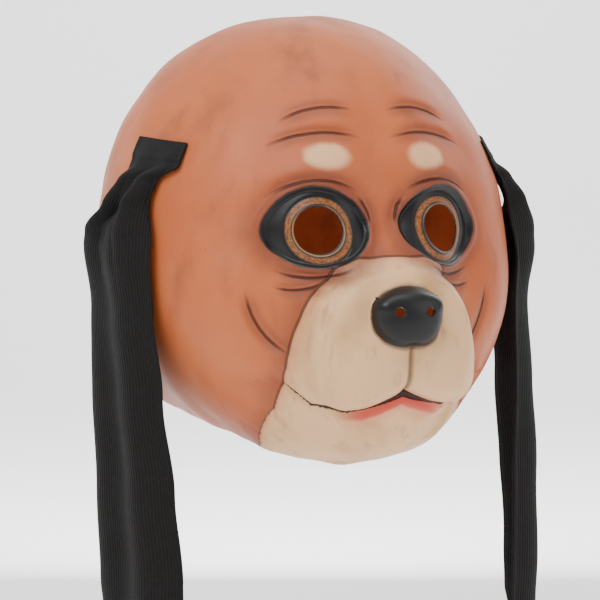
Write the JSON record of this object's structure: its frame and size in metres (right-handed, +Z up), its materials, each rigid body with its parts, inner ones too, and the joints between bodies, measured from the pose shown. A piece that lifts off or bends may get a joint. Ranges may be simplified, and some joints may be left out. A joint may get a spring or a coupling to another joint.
{
  "type": "latex dog mask",
  "caption": "Pull-over latex hound mask: a hollow head with see-through eye holes, a nose, a neck opening and long hanging cloth ears.",
  "frame": {"origin": "inside of the crown, where the mask rests on the top of the wearer's head", "axes": "+Z up out of the crown, -Y the way the face looks, +X the dog's left"},
  "size_m": [0.3242, 0.34, 0.4371],
  "materials": {
    "painted_latex": "satin airbrushed latex, ginger tan with a cream muzzle, black nose and raw red-orange inside",
    "ribbed_cloth": "matt black ribbed knit cloth"
  },
  "bodies": {
    "root": {"latex_shell": "painted_latex", "ear_left": "ribbed_cloth", "ear_right": "ribbed_cloth"}
  },
  "joints": []
}
